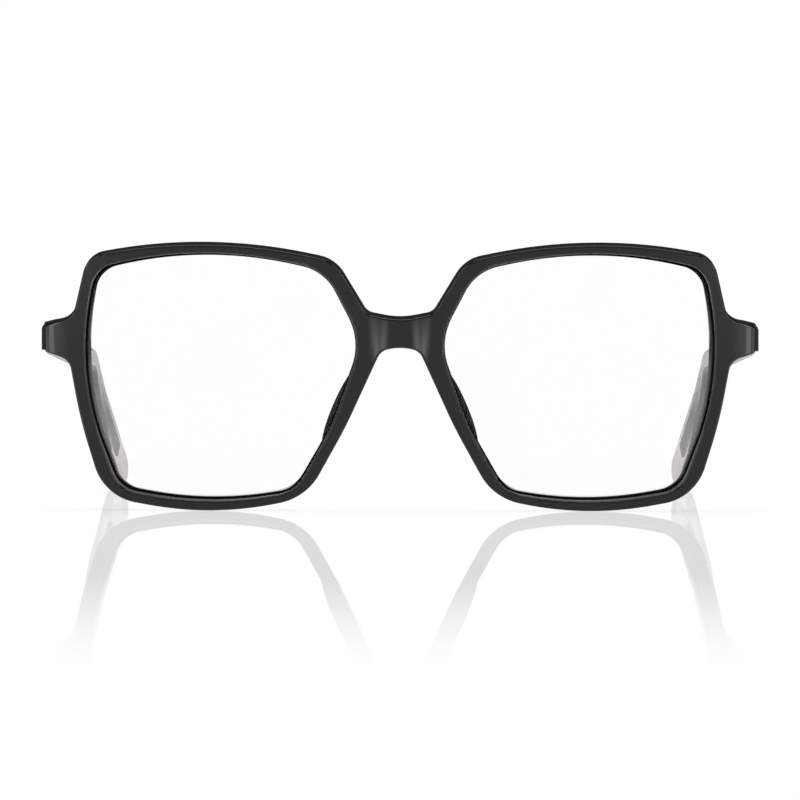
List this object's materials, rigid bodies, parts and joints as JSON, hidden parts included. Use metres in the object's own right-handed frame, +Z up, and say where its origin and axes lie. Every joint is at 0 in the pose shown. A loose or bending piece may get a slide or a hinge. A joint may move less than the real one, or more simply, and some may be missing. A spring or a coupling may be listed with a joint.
{
  "type": "eyeglasses",
  "caption": "Square eyeglasses with a glossy black front, clear lenses and clear folding temples that show a metal core wire",
  "frame": {"origin": "middle of the whole in plan, at the height of the table the glasses stand on", "axes": "+X across the face to the side called right, +Y back along the open temples, +Z up"},
  "size_m": [0.1462, 0.1484, 0.0535],
  "materials": {
    "acetate_black": "polished",
    "acetate_clear": "polished, transparent",
    "lens_clear": "polished, transparent",
    "core_metal": "drawn",
    "hinge_metal": "polished nickel silver",
    "screw_metal": "satin"
  },
  "bodies": {
    "front": {"front_frame": "acetate_black", "nose_pad_left": "acetate_black", "nose_pad_right": "acetate_black", "lens_left": "lens_clear", "lens_right": "lens_clear", "front_hinge_leaf_left": "hinge_metal", "front_hinge_leaf_right": "hinge_metal", "hinge_screw_left": "screw_metal", "hinge_screw_right": "screw_metal"},
    "temple_arm_left": {"temple_left": "acetate_clear", "core_wire_left": "core_metal", "temple_hinge_leaf_left": "hinge_metal"},
    "temple_arm_right": {"temple_right": "acetate_clear", "core_wire_right": "core_metal", "temple_hinge_leaf_right": "hinge_metal"}
  },
  "joints": [
    {"name": "temple_left_fold", "type": "hinge", "parent": "front", "child": "temple_arm_left", "pos_m": [-0.06543, -0.05732, 0.03436], "axis": [0, 0, -1], "range_deg": [0, 89.5]},
    {"name": "temple_right_fold", "type": "hinge", "parent": "front", "child": "temple_arm_right", "pos_m": [0.06543, -0.05732, 0.03436], "axis": [0, 0, 1], "range_deg": [0, 78]}
  ]
}
